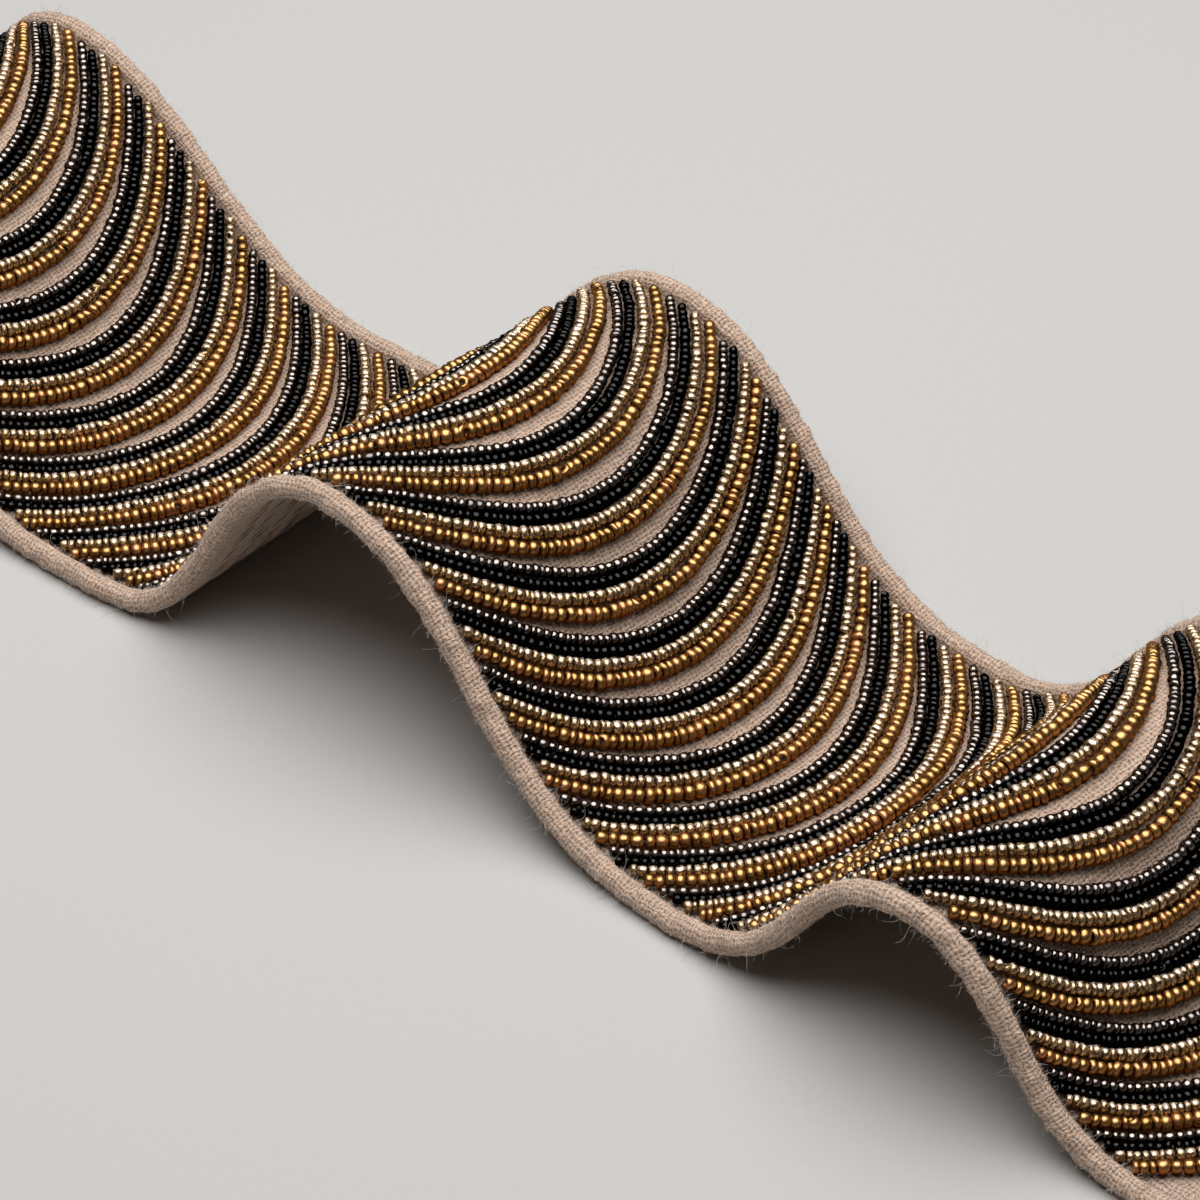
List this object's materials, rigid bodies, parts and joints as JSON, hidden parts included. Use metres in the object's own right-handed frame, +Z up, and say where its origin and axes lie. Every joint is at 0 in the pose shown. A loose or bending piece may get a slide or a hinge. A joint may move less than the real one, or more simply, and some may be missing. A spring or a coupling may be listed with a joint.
{
  "type": "beaded tape",
  "caption": "Length of linen tape with soft rolled hems, sewn across with arcs of seed beads in grey, black, champagne and gold, lying in standing waves.",
  "frame": {"origin": "on the surface that the tape lies on, under the middle of its box", "axes": "+X along the tape towards the bulging side of the bead arcs, +Y across it, +Z up"},
  "size_m": [0.3168, 0.0732, 0.0331],
  "materials": {
    "linen": "plain-weave greige linen with soft fibrous hems",
    "thread": "fine matt sewing thread",
    "grey_beads": "dark grey metallic glass seed beads",
    "black_beads": "gloss black glass seed beads",
    "champagne_beads": "silver-lined pale champagne glass seed beads",
    "gold_beads": "satin gold-bronze glass seed beads, larger than the others"
  },
  "bodies": {
    "root": {"tape": "linen", "bead_band_01": "gold_beads", "bead_band_02": "gold_beads", "bead_band_03": "gold_beads", "bead_band_04": "gold_beads", "bead_band_05": "gold_beads", "bead_band_06": "gold_beads", "bead_band_07": "gold_beads", "bead_band_08": "gold_beads", "bead_band_09": "gold_beads", "bead_band_10": "gold_beads", "bead_band_11": "gold_beads", "bead_band_12": "gold_beads", "bead_band_13": "gold_beads", "bead_band_14": "gold_beads", "bead_band_15": "gold_beads", "bead_band_16": "gold_beads", "bead_band_17": "gold_beads", "bead_band_18": "gold_beads", "bead_band_19": "gold_beads", "bead_band_20": "gold_beads", "bead_band_21": "gold_beads", "bead_band_22": "gold_beads", "bead_band_23": "gold_beads", "bead_band_24": "gold_beads", "bead_band_25": "gold_beads", "bead_band_26": "gold_beads", "bead_band_27": "gold_beads", "bead_band_28": "gold_beads", "bead_band_29": "gold_beads", "bead_band_30": "gold_beads", "bead_band_31": "gold_beads", "bead_band_32": "gold_beads", "bead_band_33": "gold_beads", "bead_band_34": "gold_beads", "bead_band_35": "gold_beads", "bead_band_36": "gold_beads", "bead_band_37": "gold_beads"}
  },
  "joints": []
}
